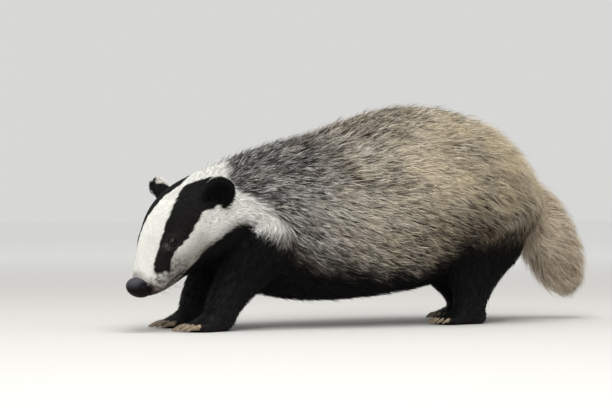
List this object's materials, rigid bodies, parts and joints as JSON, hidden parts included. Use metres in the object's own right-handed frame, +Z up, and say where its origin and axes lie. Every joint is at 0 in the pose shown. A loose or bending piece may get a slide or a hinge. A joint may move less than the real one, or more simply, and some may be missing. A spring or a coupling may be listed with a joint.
{
  "type": "european badger",
  "caption": "Still, life-size model of a young European badger walking with its head low, with a striped face, grey coat and short pale tail.",
  "frame": {"origin": "on the floor, under the middle of the animal's box seen from above", "axes": "+Z up, the animal faces -X, its left side is towards -Y"},
  "size_m": [0.5706, 0.1808, 0.2343],
  "materials": {
    "white_fur": "short soft white fur",
    "black_fur": "black fur, slightly glossy",
    "grey_fur": "long bristly banded grey fur",
    "pale_fur": "long pale fur",
    "nose_skin": "moist bare skin with fine grain",
    "eye_gloss": "wet gloss"
  },
  "bodies": {
    "root": {"head": "white_fur", "nose": "nose_skin", "ear_left": "black_fur", "ear_right": "black_fur", "eye_left": "eye_gloss", "eye_right": "eye_gloss", "neck": "grey_fur", "torso": "grey_fur", "tail": "pale_fur", "foreleg_left": "black_fur", "foreleg_right": "black_fur", "hindleg_left": "black_fur", "hindleg_right": "black_fur", "forepaw_left": "black_fur", "forepaw_right": "black_fur", "hindpaw_left": "black_fur", "hindpaw_right": "black_fur"}
  },
  "joints": []
}
